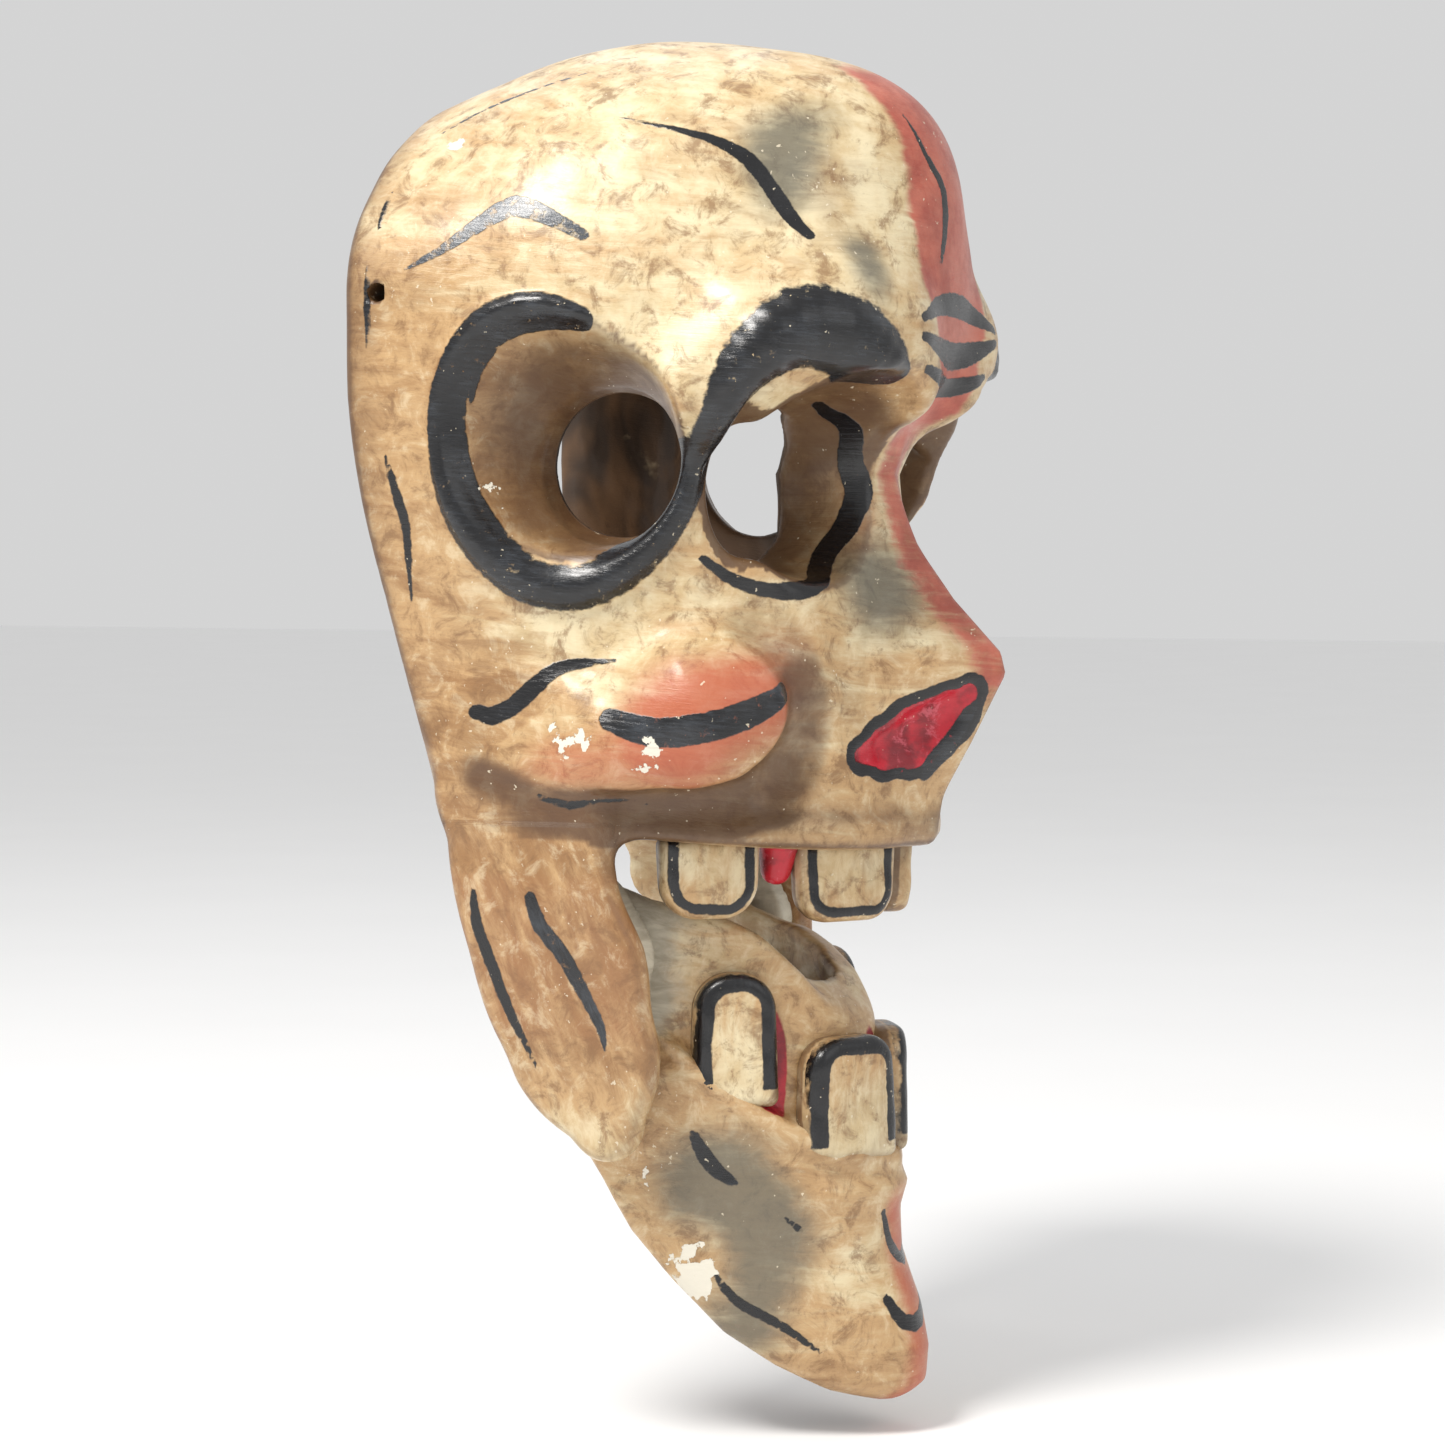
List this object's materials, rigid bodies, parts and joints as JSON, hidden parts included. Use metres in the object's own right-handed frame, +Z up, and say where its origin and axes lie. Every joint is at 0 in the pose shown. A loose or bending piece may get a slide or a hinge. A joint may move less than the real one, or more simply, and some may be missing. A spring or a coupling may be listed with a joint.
{
  "type": "mexican folk art mask",
  "caption": "Hollow carved wooden skull mask with open eye sockets and temple holes, block teeth and a lower jaw that swings on side dowels.",
  "frame": {"origin": "mouth of the blind hanging hole at the top centre of the flat back rim", "axes": "+Z up toward the crown, +Y out of the open back toward the wall or the wearer, the face looks along -Y and its own right side is -X"},
  "size_m": [0.1502, 0.1331, 0.3174],
  "materials": {
    "painted_wood": "hand painted and varnished, worn",
    "painted_tooth": "painted ivory with dark outlines",
    "dowel": "painted over end grain",
    "leather": "matte"
  },
  "bodies": {
    "skull": {"skull_shell": "painted_wood", "right_pin": "dowel", "left_pin": "dowel", "right_washer": "leather", "left_washer": "leather", "upper_front_tooth_right": "painted_tooth", "upper_front_tooth_left": "painted_tooth", "upper_side_tooth_right": "painted_tooth", "upper_side_tooth_left": "painted_tooth"},
    "jaw": {"jaw": "painted_wood", "lower_front_tooth_right": "painted_tooth", "lower_front_tooth_left": "painted_tooth", "lower_side_tooth_right": "painted_tooth", "lower_side_tooth_left": "painted_tooth"}
  },
  "joints": [
    {"name": "jaw_hinge", "type": "hinge", "parent": "skull", "child": "jaw", "pos_m": [0, -0.044, -0.185], "axis": [-1, 0, 0], "range_deg": [0, 8]}
  ]
}
